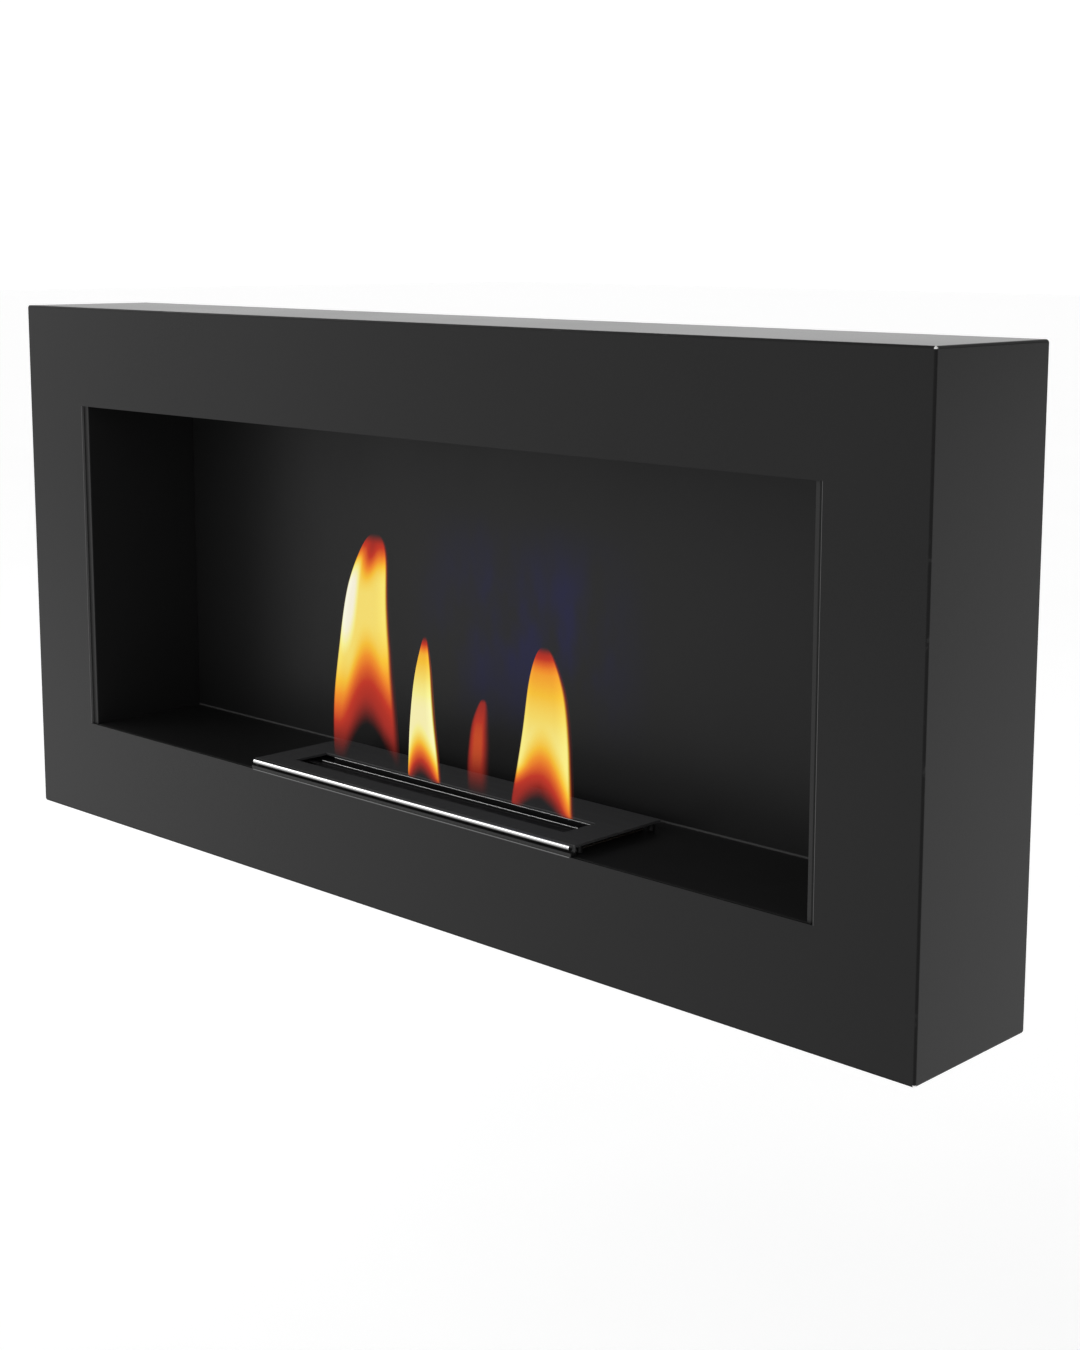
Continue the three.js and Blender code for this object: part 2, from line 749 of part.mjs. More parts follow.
for (const group of [burner, damper]) group.position.x = burnerOffset;

const fireplace = new THREE.Group();
fireplace.add(casing, burner, damper);

export default fireplace;
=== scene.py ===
import math
import random

import bmesh
import bpy
from mathutils import Matrix, Vector


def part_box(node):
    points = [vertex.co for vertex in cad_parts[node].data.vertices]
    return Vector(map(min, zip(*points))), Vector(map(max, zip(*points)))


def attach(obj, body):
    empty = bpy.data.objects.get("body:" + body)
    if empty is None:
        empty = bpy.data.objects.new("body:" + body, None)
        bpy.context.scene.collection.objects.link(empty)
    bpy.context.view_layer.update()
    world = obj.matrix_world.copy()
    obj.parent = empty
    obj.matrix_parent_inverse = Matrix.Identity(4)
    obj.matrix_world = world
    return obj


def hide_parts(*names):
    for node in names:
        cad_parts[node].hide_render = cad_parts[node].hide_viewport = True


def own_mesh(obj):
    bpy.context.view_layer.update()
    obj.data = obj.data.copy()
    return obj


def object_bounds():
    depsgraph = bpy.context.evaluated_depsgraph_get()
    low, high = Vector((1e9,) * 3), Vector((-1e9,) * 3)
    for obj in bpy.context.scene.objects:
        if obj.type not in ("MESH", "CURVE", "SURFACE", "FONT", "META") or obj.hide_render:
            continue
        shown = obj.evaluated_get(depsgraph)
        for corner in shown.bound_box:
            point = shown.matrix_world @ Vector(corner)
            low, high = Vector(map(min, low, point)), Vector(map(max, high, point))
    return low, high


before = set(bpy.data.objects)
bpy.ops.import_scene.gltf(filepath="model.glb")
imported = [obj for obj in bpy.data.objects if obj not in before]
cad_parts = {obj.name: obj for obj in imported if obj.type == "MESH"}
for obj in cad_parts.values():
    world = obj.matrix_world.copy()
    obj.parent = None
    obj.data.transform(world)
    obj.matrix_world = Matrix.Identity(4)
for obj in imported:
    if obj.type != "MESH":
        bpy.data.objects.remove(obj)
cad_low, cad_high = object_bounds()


# ---- Camera and studio -------------------------------------------------------------------
# The fireplace hangs clear of a pale floor in an even white surround, seen from its right, a
# little above its middle. Two soft lamps light the floor that its front and its end mirror.

MM = 0.001
scene = bpy.context.scene

focal_px = 2085.1
long_side_px = 1350
eye = Vector((1088.4, -1018.7, 481.7)) * MM
yaw = 43.01
pitch = 8.757
roll = -0.255

camera = bpy.data.objects.new("camera", bpy.data.cameras.new("camera"))
scene.collection.objects.link(camera)
camera.matrix_world = (
    Matrix.Translation(eye)
    @ Matrix.Rotation(math.radians(yaw), 4, "Z")
    @ Matrix.Rotation(math.radians(90 - pitch), 4, "X")
    @ Matrix.Rotation(math.radians(-roll), 4, "Z")
)
camera.data.sensor_width = 36
camera.data.lens = focal_px / long_side_px * camera.data.sensor_width
camera.data.shift_x = -0.037
camera.data.shift_y = -0.0852
camera.data.clip_start = 0.05
camera.data.clip_end = 100
scene.camera = camera
scene.view_settings.view_transform = "Standard"


class Wire:
    """A number that varies over a surface. Sums on it add Math nodes to its material."""

    def __init__(self, look, socket):
        self.look = look
        self.socket = socket

    def math(self, operation, *values):
        return self.look.node("ShaderNodeMath", {"operation": operation}, dict(enumerate(values)))

    def __add__(self, other):
        return self.math("ADD", self, other)

    def __radd__(self, other):
        return self.math("ADD", other, self)

    def __sub__(self, other):
        return self.math("SUBTRACT", self, other)

    def __rsub__(self, other):
        return self.math("SUBTRACT", other, self)

    def __mul__(self, other):
        return self.math("MULTIPLY", self, other)

    def __rmul__(self, other):
        return self.math("MULTIPLY", other, self)

    def __truediv__(self, other):
        return self.math("DIVIDE", self, other)

    def __pow__(self, other):
        return self.math("POWER", self, other)

    def __abs__(self):
        return self.math("ABSOLUTE", self)

    def least(self, other):
        return self.math("MINIMUM", self, other)

    def most(self, other):
        return self.math("MAXIMUM", self, other)

    def step(self, low, high):
        """0 below low and 1 above high, with a smooth rise between them, or a fall if low > high."""
        ends = {1: min(low, high), 2: max(low, high), 3: float(low > high), 4: float(low < high)}
        return self.look.node(
            "ShaderNodeMapRange", {"interpolation_type": "SMOOTHSTEP"}, {0: self, **ends}
        )


class Look:
    """A material, or the studio's surround, as it is built up. Lengths in it are metres along the
    piece's own axes."""

    def __init__(self, name, owner=None, place="Object"):
        self.owner = owner or bpy.data.materials.new(name)
        self.owner.use_nodes = True
        self.tree = self.owner.node_tree
        self.tree.nodes.clear()
        self.place = self.node("ShaderNodeTexCoord", {}, {}, out=place)

    def node(self, kind, settings, sockets, out=0):
        made = self.tree.nodes.new(kind)
        for name, value in settings.items():
            if name == "stops":
                ramp = made.color_ramp.elements
                while len(ramp) < len(value):
                    ramp.new(0.5)
                for stop, (at, colour) in zip(ramp, value):
                    stop.position = at
                    stop.color = (*colour, 1)
            else:
                setattr(made, name, value)
        for name, value in sockets.items():
            if isinstance(value, Wire):
                self.tree.links.new(value.socket, made.inputs[name])
            else:
                made.inputs[name].default_value = value
        return Wire(self, made.outputs[out]) if made.outputs else None

    def axes(self):
        split = self.node("ShaderNodeSeparateXYZ", {}, {0: self.place})
        return [Wire(self, output) for output in split.socket.node.outputs]

    def noise(self, scale, detail, stretch=(1, 1, 1), rough=0.5):
        place = self.node(
            "ShaderNodeVectorMath", {"operation": "MULTIPLY"}, {0: self.place, 1: stretch}
        )
        sockets = {"Vector": place, "Scale": scale, "Detail": detail, "Roughness": rough}
        return self.node("ShaderNodeTexNoise", {}, sockets)

    def mix(self, share, first, second):
        pair = [c if isinstance(c, Wire) else (*c, 1) for c in (first, second)]
        sockets = {0: share, 6: pair[0], 7: pair[1]}
        return self.node("ShaderNodeMix", {"data_type": "RGBA"}, sockets, out=2)

    def blend(self, share, first, second):
        """A shader between two others."""
        return self.node("ShaderNodeMixShader", {}, {0: share, 1: first, 2: second})

    def bump(self, height, depth):
        """Relief from a height of 0 to 1, that many metres deep."""
        return self.node("ShaderNodeBump", {}, {"Height": height, "Distance": depth})

    def surface(self, **sockets):
        named = {name.replace("_", " "): value for name, value in sockets.items()}
        for name, value in named.items():
            if isinstance(value, tuple) and len(value) == 3:
                named[name] = (*value, 1)
        return self.node("ShaderNodeBsdfPrincipled", {}, named)

    def done(self, shader, output="ShaderNodeOutputMaterial"):
        self.node(output, {}, {"Surface": shader})
        return self.owner


def grey(level, blue=0.0):
    """A grey, as a colour, with a little more blue in it if asked."""
    return (level, level, level + blue)


def pale_floor():
    look = Look("pale_floor")
    mottle = look.noise(3, 3)
    return look.done(look.surface(
        Base_Color=look.mix(mottle, grey(0.86), grey(0.90)),
        Roughness=0.8,
        Specular_IOR_Level=0.2,
        Emission_Color=grey(1),
        Emission_Strength=0.32,
    ))


floor_drop = 0.40
floor_reach = 30.0
floor_mesh = bpy.data.meshes.new("studio_floor")
floor_build = bmesh.new()
bmesh.ops.create_grid(floor_build, x_segments=8, y_segments=8, size=floor_reach)
floor_build.to_mesh(floor_mesh)
floor_build.free()
studio_floor = bpy.data.objects.new("studio_floor", floor_mesh)
studio_floor.location.z = cad_low.z - floor_drop
studio_floor.data.materials.append(pale_floor())
scene.collection.objects.link(studio_floor)


def white_surround():
    """Even white all round, dimmer overhead and in the sector beyond the fireplace's back right."""
    look = Look("surround", bpy.data.worlds.new("surround"), "Generated")
    x, y, z = look.axes()
    overhead = z.step(0.45, 0.85)
    back_right = 0.68 * x + 0.73 * y
    beside = back_right.step(0.35, 0.90)
    colour = look.mix(overhead, grey(1), grey(0.55))
    colour = look.mix(beside * 0.75, colour, grey(0.10))
    glow = look.node("ShaderNodeBackground", {}, {"Color": colour, "Strength": 1.10})
    return look.done(glow, "ShaderNodeOutputWorld")


scene.world = white_surround()


def soft_lamp(name, place, aim, side, power):
    lamp = bpy.data.lights.new(name, "AREA")
    lamp.shape = "SQUARE"
    lamp.size = side
    lamp.energy = power
    stand = bpy.data.objects.new(name, lamp)
    scene.collection.objects.link(stand)
    stand.location = place
    stand.rotation_euler = (Vector(aim) - Vector(place)).to_track_quat("-Z", "Y").to_euler()


soft_lamp("front_lamp", place=(-2.4, -1.6, 1.5), aim=(-1.9, -1.2, -0.4), side=1.6, power=20)
soft_lamp("end_lamp", place=(1.4, 1.7, 1.2), aim=(1.3, 1.5, -0.4), side=0.9, power=3)


# ---- Casing ------------------------------------------------------------------------------
# One box of 2 mm steel, folded and welded, with the window cut in its front. It is black
# powder coat, baked on: satin, with a fine orange peel, and rubbed thin in places along its folds.
# Painted light is on it too: a dark reflection along its folds, a glint of bare metal at its
# corners, and highlights on the window's upright cut edges and along the sill under the trim bar.

casing_sheet = 2.0 * MM
window_low = 80 * MM
window_high = 345 * MM
window_half = 375 * MM
fold_width = 2.0 * MM
corner_width = 1.9 * MM
bar_low, bar_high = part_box("burner_trim_bar")


def own_copy(node, name):
    """A new piece with a CAD node's shape, its doubled corners joined and its flats made whole."""
    joined = 2e-6
    flat_degrees = 0.5
    piece = bpy.data.objects.new(name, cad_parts[node].data.copy())
    piece.data.materials.clear()
    scene.collection.objects.link(piece)
    build = bmesh.new()
    build.from_mesh(piece.data)
    bmesh.ops.remove_doubles(build, verts=build.verts, dist=joined)
    bmesh.ops.dissolve_limit(
        build, angle_limit=math.radians(flat_degrees), verts=build.verts, edges=build.edges
    )
    build.to_mesh(piece.data)
    build.free()
    return piece


def settle(piece):
    """Turns a piece's modifiers into its mesh."""
    graph = bpy.context.evaluated_depsgraph_get()
    piece.data = bpy.data.meshes.new_from_object(piece.evaluated_get(graph))
    piece.modifiers.clear()
    return piece


def break_edges(piece, width, segments):
    """Rounds every sharp edge, and keeps the flats flat to the eye."""
    sharp_degrees = 30
    piece.data.shade_smooth()
    bevel = piece.modifiers.new("broken_edges", "BEVEL")
    bevel.width = width
    bevel.segments = segments
    bevel.limit_method = "ANGLE"
    bevel.angle_limit = math.radians(sharp_degrees)
    bevel.harden_normals = True
    flats = piece.modifiers.new("flat_flats", "WEIGHTED_NORMAL")
    flats.keep_sharp = True
    flats.weight = 100
    return settle(piece)


def fit_piece(piece, body, material, slot, *nodes):
    """Gives a piece its finish and puts it in the place of its CAD nodes."""
    piece.data.materials.clear()
    piece.data.materials.append(material)
    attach(piece, body)
    if nodes:
        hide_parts(*nodes)
    return piece


def from_node(node, name, body, material, slot, width=0.2 * MM, segments=2):
    piece = break_edges(own_copy(node, name), width, segments)
    return fit_piece(piece, body, material, slot, node)


def middle_of(a, b, c):
    """The middle one of three wires."""
    return a.least(b).most(a.most(b).least(c))


def casing_coat():
    look = Look("casing_coat")
    x, y, z = look.axes()
    behind_front = y - cad_low.y
    cloud = look.noise(5, 3)
    peel = look.noise(650, 2)
    grain = look.noise(2600, 1)
    scuff = look.noise(90, 4, rough=0.65)

    to_side = cad_high.x - abs(x)
    to_face = cad_high.y - abs(y)
    to_level = z.least(cad_high.z - z)
    fold = middle_of(to_side, to_face, to_level).step(fold_width, 1.1 * MM)
    wear_and_lit_top = fold * scuff.step(0.58, 0.72)
    # Painted glint: bare bright metal at the corners stands in for the highlight on their rounding.
    corner_glint = to_side.most(to_face).most(to_level).step(corner_width, 1.2 * MM)

    # A painted highlight: a thin light line along the sill, under the trim bar, where the sill's edge
    # catches the light.
    bar_middle = (bar_low.x + bar_high.x) / 2
    bar_half = (bar_high.x - bar_low.x) / 2
    sill_highlight = abs(x - bar_middle).step(bar_half + 1 * MM, bar_half)
    sill_highlight = sill_highlight * abs(z - window_low).step(0.9 * MM, 0.4 * MM)
    sill_highlight = sill_highlight * behind_front.step(casing_sheet + 0.6 * MM, casing_sheet - 0.2 * MM)

    # Painted highlights: the window's upright cut edges are coloured lighter, as lit.
    jamb_highlight = abs(abs(x) - window_half).step(0.5 * MM, 0.3 * MM)
    jamb_highlight = jamb_highlight * behind_front.step(casing_sheet + 1.0 * MM, casing_sheet + 0.6 * MM)
    jamb_highlight = jamb_highlight * z.step(window_low - 0.2 * MM, window_low + 0.2 * MM)
    jamb_highlight = jamb_highlight * z.step(window_high + 0.2 * MM, window_high - 0.2 * MM)

    colour = look.mix(cloud, grey(0.0036, 0.0001), grey(0.0052, 0.0001))
    colour = look.mix(wear_and_lit_top * 0.5, colour, grey(0.03))
    colour = look.mix(jamb_highlight, colour, grey(0.085))
    relief = look.bump(peel * 0.8 + grain * 0.2, 0.025 * MM)
    coat = look.surface(
        Base_Color=colour,
        Roughness=0.29 + 0.08 * (cloud - 0.5) + 0.06 * (grain - 0.5) - 0.06 * wear_and_lit_top,
        IOR=1.295,
        Normal=relief,
    )
    # Painted shade: the folds get a darker, duller coat that stands in for the dark reflection of
    # their rounding.
    fold_shade = look.surface(Base_Color=grey(0.003), Roughness=0.6, IOR=1.20, Normal=relief)
    edge_wear_and_sill_highlight = look.surface(Base_Color=grey(0.11), Roughness=0.35)
    corner_glint_metal = look.surface(Base_Color=grey(0.85, -0.01), Metallic=1.0, Roughness=0.25)
    shader = look.blend(fold * 0.65 * (1 - wear_and_lit_top), coat, fold_shade)
    shader = look.blend(sill_highlight, shader, edge_wear_and_sill_highlight)
    shader = look.blend(corner_glint, shader, corner_glint_metal)
    return look.done(shader)


casing_finish = casing_coat()
from_node("casing_shell", "casing_box", "casing", casing_finish, "casing_coat", 0.35 * MM, 3)


def mesh_piece(name, build):
    """A new piece from a mesh that is ready, its faces turned outwards."""
    bmesh.ops.recalc_face_normals(build, faces=build.faces)
    mesh = bpy.data.meshes.new(name)
    build.to_mesh(mesh)
    build.free()
    mesh.shade_smooth()
    piece = bpy.data.objects.new(name, mesh)
    scene.collection.objects.link(piece)
    return piece


def ridge(name, start, end, across, up, width, height, ripples=0, points=24):
    """A closed low ridge with round ends from start to end, its foot just under the sheet."""
    arc_points = 9
    smallest = 0.05
    foot_depth = 0.05 * MM
    ripple_share = 0.18 if ripples else 0.0
    build = bmesh.new()
    steps = max(points, 2 * ripples)
    rings = []
    for i in range(steps + 1):
        share = i / steps
        centre = start + (end - start) * share
        rounding = math.sqrt(max(0.0, 1 - (2 * share - 1) ** 16))
        swell = rounding * (1 + ripple_share * math.cos(2 * math.pi * ripples * share))
        half = across * (width / 2 * max(rounding, smallest))
        crest = up * (height * max(swell, smallest))
        ring = []
        for j in range(arc_points):
            angle = math.pi * j / (arc_points - 1)
            ring.append(build.verts.new(centre + half * math.cos(angle) + crest * math.sin(angle)))
        for foot in (-1, 1):
            ring.append(build.verts.new(centre + half * foot - up * foot_depth))
        rings.append(ring)
    for first, second in zip(rings, rings[1:]):
        for j in range(len(first)):
            k = (j + 1) % len(first)
            build.faces.new((first[j], first[k], second[k], second[j]))
    build.faces.new(rings[0])
    build.faces.new(rings[-1])
    return mesh_piece(name, build)


box_low, box_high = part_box("casing_shell")
seam_inset = 2.2 * MM
seam_reach = 13.2 * MM
for number, (side, above) in enumerate(((-1, 1), (1, 1), (-1, 0), (1, 0)), 1):
    level = box_high.z - seam_inset if above else box_low.z + seam_inset
    outer = Vector((side * (box_high.x - seam_inset), box_high.y, level))
    inward = Vector((-side, 0, -1 if above else 1))
    across = Vector((inward.z, 0, -inward.x)).normalized()
    seam = ridge(
        f"rear_corner_weld_{number}", outer, outer + inward * seam_reach,
        across, Vector((0, 1, 0)), width=1.3 * MM, height=0.3 * MM, ripples=14,
    )
    fit_piece(seam, "casing", casing_finish, "casing_coat")


# ---- Carriers and drip tray ---------------------------------------------------------------
# Channels of 1.5 mm galvanised steel stand between the lining and the casing and are spot
# welded to both. The tray of 1 mm galvanised steel hangs under the floor round the tank.


def shaded(shade, parts):
    """A colour at a share of its brightness."""
    return tuple(shade * part for part in parts)


def galvanised(name, shade, spangle):
    """Zinc with crystals spangle to the metre."""
    look = Look(name)
    sockets = {"Vector": look.place, "Scale": spangle}
    cells = look.node("ShaderNodeTexVoronoi", {}, sockets, out="Color")
    tone = look.node("ShaderNodeSeparateColor", {}, {0: cells})
    stain = look.noise(9, 4, rough=0.6)
    grain = look.noise(1800, 2)
    dull = shaded(shade, (0.90, 0.91, 0.93))
    bright = shaded(shade, (1.06, 1.07, 1.08))
    colour = look.mix(tone, dull, bright)
    colour = look.mix(stain.step(0.55, 0.8) * 0.35, colour, shaded(shade, (0.60, 0.60, 0.58)))
    return look.done(look.surface(
        Base_Color=colour,
        Metallic=0.85,
        Roughness=0.36 + 0.08 * tone + 0.10 * stain,
        Normal=look.bump(0.7 * tone + 0.3 * grain, 0.012 * MM),
    ))


zinc = galvanised("zinc_steel", 0.36, 110.0)
for node in ("floor_support_left", "floor_support_right", "ceiling_tie_left", "ceiling_tie_right"):
    name = node.replace("_", "_channel_", 1)
    from_node(node, name, "casing", zinc, "zinc_steel", 0.3 * MM)
from_node("drip_tray", "spill_tray", "casing", zinc, "zinc_steel", 0.3 * MM)


# ---- Firebox lining ------------------------------------------------------------------------
# Five sheets of 1.2 mm steel with flanges turned away from the fire, spot welded to the casing
# from inside. They carry a matt heat-proof black, hazed a little behind the flames.

lining_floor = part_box("firebox_floor")[1]
lining_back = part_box("firebox_back_wall")[0]
haze_middle = Vector((0.03, 0.0, 0.20))


def firebox_coat():
    look = Look("firebox_coat")
    x, y, z = look.axes()
    soot = look.noise(14, 4, (1, 1, 0.45), 0.6)
    fleck = look.noise(1500, 2)
    cloud = look.noise(7, 3)

    hazed = abs(x - haze_middle.x).step(0.13, 0.02) * abs(z - haze_middle.z).step(0.09, 0.01)
    hazed = hazed * y.step(0.03, 0.045) * soot.step(0.30, 0.65)
    # The joint at the back wall's foot is light, as are the flanges that stand beside the window;
    # the right one has a painted shadow line along it, where it steps back behind the casing's edge.
    joint = (z - lining_floor.z).step(1.5 * MM, 0.9 * MM)
    joint = joint * y.step(lining_back.y - 1 * MM, lining_back.y)
    flange = (y - cad_low.y).step(3.5 * MM, 2.7 * MM)
    step_shadow = flange * x.step(window_half - 3.4 * MM, window_half - 2.9 * MM)

    colour = look.mix(cloud, grey(0.0072, 0.0001), grey(0.0092, 0.0001))
    colour = look.mix(hazed, colour, (0.006, 0.006, 0.070))
    colour = look.mix(joint, colour, grey(0.060))
    colour = look.mix(flange, colour, grey(0.020))
    colour = look.mix(step_shadow, colour, grey(0.0004))
    return look.done(look.surface(
        Base_Color=colour,
        Roughness=0.42 + 0.12 * (soot - 0.5) + 0.10 * (fleck - 0.5),
        IOR=1.27,
        Normal=look.bump(fleck * 0.6 + cloud * 0.4, 0.03 * MM),
    ))


lining = firebox_coat()
for part in ("floor", "ceiling", "left_wall", "right_wall", "back_wall"):
    from_node(f"firebox_{part}", f"firebox_{part}_sheet", "casing", lining, "firebox_coat")


# ---- Insulation board ----------------------------------------------------------------------
# A 4 mm board of pressed ceramic fibre, laid loose between the firebox back and the rear
# panel. Its face is felted and uneven, and it shows through the vents.


def fibre(name, tint):
    look = Look(name)
    lays = ((1, 1, 9), (9, 1, 1), (4, 1, 5))
    strands = [look.noise(160, 4, stretch, 0.7) for stretch in lays]
    felt = (strands[0] + strands[1] + strands[2]) / 3
    clump = look.noise(45, 3)
    dust = look.noise(10, 3)
    colour = look.mix(felt, shaded(0.82, tint), tint)
    colour = look.mix(dust.step(0.5, 0.85) * 0.4, colour, shaded(0.62, tint))
    return look.done(look.surface(
        Base_Color=colour,
        Roughness=0.94 + 0.05 * (felt - 0.5),
        Specular_IOR_Level=0.15,
        Normal=look.bump(0.6 * felt + 0.4 * clump, 0.4 * MM),
    ))


def felted(node, name, pitch, swell, seed):
    """A CAD block cut into a fine mesh whose skin swells and pits at random, inside the block."""
    low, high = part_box(node)
    build = bmesh.new()
    bmesh.ops.create_cube(build, size=1)
    for vert in build.verts:
        vert.co = Vector([high[i] if part > 0 else low[i] for i, part in enumerate(vert.co)])
    for axis in range(3):
        count = int((high[axis] - low[axis]) / pitch)
        normal = Vector((0, 0, 0))
        normal[axis] = 1
        for i in range(1, count):
            at = Vector((0, 0, 0))
            at[axis] = low[axis] + (high[axis] - low[axis]) * i / count
            everything = build.verts[:] + build.edges[:] + build.faces[:]
            bmesh.ops.bisect_plane(build, geom=everything, plane_co=at, plane_no=normal)
    draw = random.Random(seed)
    middle = (low + high) / 2
    for vert in build.verts:
        for axis in range(3):
            inward = 1 if vert.co[axis] < middle[axis] else -1
            to_skin = min(vert.co[axis] - low[axis], high[axis] - vert.co[axis])
            if to_skin < 1e-6:
                vert.co[axis] += inward * swell * draw.random()
    return mesh_piece(name, build)


board = felted("insulation_board", "insulation_sheet", pitch=12 * MM, swell=0.5 * MM, seed=3)
board_fibre = fibre("board_fibre", (0.74, 0.71, 0.64))
fit_piece(board, "casing", board_fibre, "ceramic_fibre", "insulation_board")


# ---- Rear panel, hanger plates and their fasteners ------------------------------------------
# The panel is 1.2 mm galvanised steel with two rows of vents and three swages pressed in to
# stiffen it. Two keyhole plates are riveted inside it, and ten countersunk screws hold it in.

panel_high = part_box("rear_panel")[1]
panel_zinc = galvanised("panel_zinc", 0.34, 130.0)
from_node("rear_panel", "rear_sheet", "casing", panel_zinc, "zinc_steel", 0.15 * MM)

swage_half = 0.33
swage_levels = (0.135, 0.190, 0.245)
for number, level in enumerate(swage_levels, 1):
    ends = [Vector((side * swage_half, panel_high.y, level)) for side in (-1, 1)]
    swage = ridge(
        f"rear_swage_{number}", *ends,
        Vector((0, 0, 1)), Vector((0, 1, 0)), width=9 * MM, height=2.0 * MM, points=64,
    )
    fit_piece(swage, "casing", panel_zinc, "zinc_steel")

for side in ("left", "right"):
    node = f"hanger_plate_{side}"
    from_node(node, f"keyhole_plate_{side}", "casing", zinc, "zinc_steel", 0.3 * MM, 3)


def round_size(node, axis):
    """Foot, radius and length of a round CAD node that stands along that axis."""
    low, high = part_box(node)
    foot = (low + high) / 2
    foot[axis] = low[axis]
    return foot, (high.x - low.x) / 2, high[axis] - low[axis]


def skin_over(build, rings, segments):
    """Joins rings of corners into a skin. A ring of one corner is an end."""
    for first, second in zip(rings, rings[1:]):
        for i in range(segments):
            j = (i + 1) % segments
            corners = [first[i % len(first)], first[j % len(first)]]
            corners += [second[j % len(second)], second[i % len(second)]]
            build.faces.new(list(dict.fromkeys(corners)))


def turned(name, profile, place, axis):
    """A closed body turned from [radius, height] points, standing at place along axis."""
    segments = 40
    sharp_degrees = 35
    build = bmesh.new()
    rings = []
    for radius, height in profile:
        if radius < 1e-9:
            rings.append([build.verts.new((0, 0, height))])
            continue
        turns = [2 * math.pi * i / segments for i in range(segments)]
        ring = [(radius * math.cos(turn), radius * math.sin(turn), height) for turn in turns]
        rings.append([build.verts.new(point) for point in ring])
    skin_over(build, rings, segments)
    piece = mesh_piece(name, build)
    upright = Vector(axis).to_track_quat("Z", "Y").to_matrix().to_4x4()
    piece.matrix_world = Matrix.Translation(place) @ upright
    piece.data.set_sharp_from_angle(angle=math.radians(sharp_degrees))
    return piece


def dome(radius, top, rise, angles):
    """Points of a rounded head, at angles above its rim."""
    return [(radius * math.cos(angle), top - rise + rise * math.sin(angle)) for angle in angles]


def cut_cross(piece, top, reach, depth, turn):
    """Cuts a tapered cross recess into the top of a turned piece, turned by an angle."""
    build = bmesh.new()
    for quarter in (0, math.pi / 2):
        arm = bmesh.ops.create_cube(build, size=1)["verts"]
        for vert in arm:
            above = vert.co.z > 0
            length = reach if above else 0.35 * reach
            width = 0.34 * reach if above else 0.22 * reach
            level = top + 0.3 * MM if above else top - depth
            along = math.copysign(length, vert.co.x)
            across = math.copysign(width / 2, vert.co.y)
            spot = Vector((along, across, 0))
            spot.rotate(Matrix.Rotation(quarter + turn, 3, "Z"))
            vert.co = spot + Vector((0, 0, level))
    mesh = bpy.data.meshes.new("cross")
    build.to_mesh(mesh)
    build.free()
    cutter = bpy.data.objects.new("cross", mesh)
    scene.collection.objects.link(cutter)
    cutter.matrix_world = piece.matrix_world
    bpy.context.view_layer.update()
    cut = piece.modifiers.new("recess", "BOOLEAN")
    cut.operation = "DIFFERENCE"
    cut.solver = "EXACT"
    cut.object = cutter
    cut.use_self = True
    settle(piece)
    bpy.data.objects.remove(cutter)
    return piece


screw_draw = random.Random(7)
screw_point = 0.5 * MM
screw_cone = 1.7 * MM
for number in range(1, 11):
    node = f"rear_panel_screw_{number}"
    foot, head, length = round_size(node, 1)
    shank = 0.52 * head
    profile = [
        (0, 0),
        (shank * 0.6, 0),
        (shank, screw_point),
        (shank, length - screw_cone),
        (head * 0.97, length - 0.35 * MM),
        (head, length - 0.22 * MM),
        (head * 0.97, length - 0.08 * MM),
        (head * 0.88, length),
        (0, length),
    ]
    screw = turned(f"countersunk_screw_{number}", profile, foot, (0, 1, 0))
    turn = screw_draw.uniform(0, math.pi)
    cut_cross(screw, length, reach=0.56 * head, depth=1.2 * MM, turn=turn)
    fit_piece(screw, "casing", zinc, "zinc_steel", node)

rivet_rim = 1.1 * MM
mandrel_pit = 0.5 * MM
for side in ("left", "right"):
    for end in (1, 2):
        node = f"hanger_rivet_{side}_{end}"
        foot, head, length = round_size(node, 1)
        shank = 0.59 * head
        profile = [
            (0, 0),
            (head * 0.9, 0),
            (head, 0.2 * MM),
            (head, 1.0 * MM),
            (shank, rivet_rim),
            (shank, length - 1.15 * MM),
            *dome(head, length, rivet_rim, (0.0, 0.3, 0.65, 1.0, 1.3)),
            (head * 0.25, length),
            (head * 0.2, length - mandrel_pit),
            (0, length - mandrel_pit),
        ]
        rivet = turned(f"blind_rivet_{side}_{end}", profile, foot, (0, 1, 0))
        fit_piece(rivet, "casing", zinc, "zinc_steel", node)


# ---- Fuel reservoir, wool and grid ------------------------------------------------------------
# The tank is folded from 1 mm stainless steel and its corners are welded and brushed. A block
# of ceramic wool in it soaks up the spirit, and a slotted sheet keeps the wool down.

heated_from = 0.055
heated_to = 0.080
tank_flange = 5.5 * MM


def brushed_steel():
    shade = 0.56
    look = Look("burner_steel")
    z = look.axes()[2]
    lines = look.noise(60, 5, (1, 40, 40), 0.7)
    smear = look.noise(12, 3)
    heat = z.step(heated_from, heated_to) * look.noise(25, 2).step(0.3, 0.6)
    colour = look.mix(lines, grey(shade * 0.82), grey(shade * 1.08))
    colour = look.mix(heat * 0.6, colour, shaded(shade, (0.85, 0.62, 0.42)))
    return look.done(look.surface(
        Base_Color=colour,
        Metallic=1.0,
        Roughness=0.27 + 0.16 * lines + 0.08 * smear,
        Normal=look.bump(lines, 0.008 * MM),
    ))


tank_steel = brushed_steel()
from_node("fuel_reservoir", "fuel_tank", "burner", tank_steel, "burner_steel", 0.45 * MM, 3)

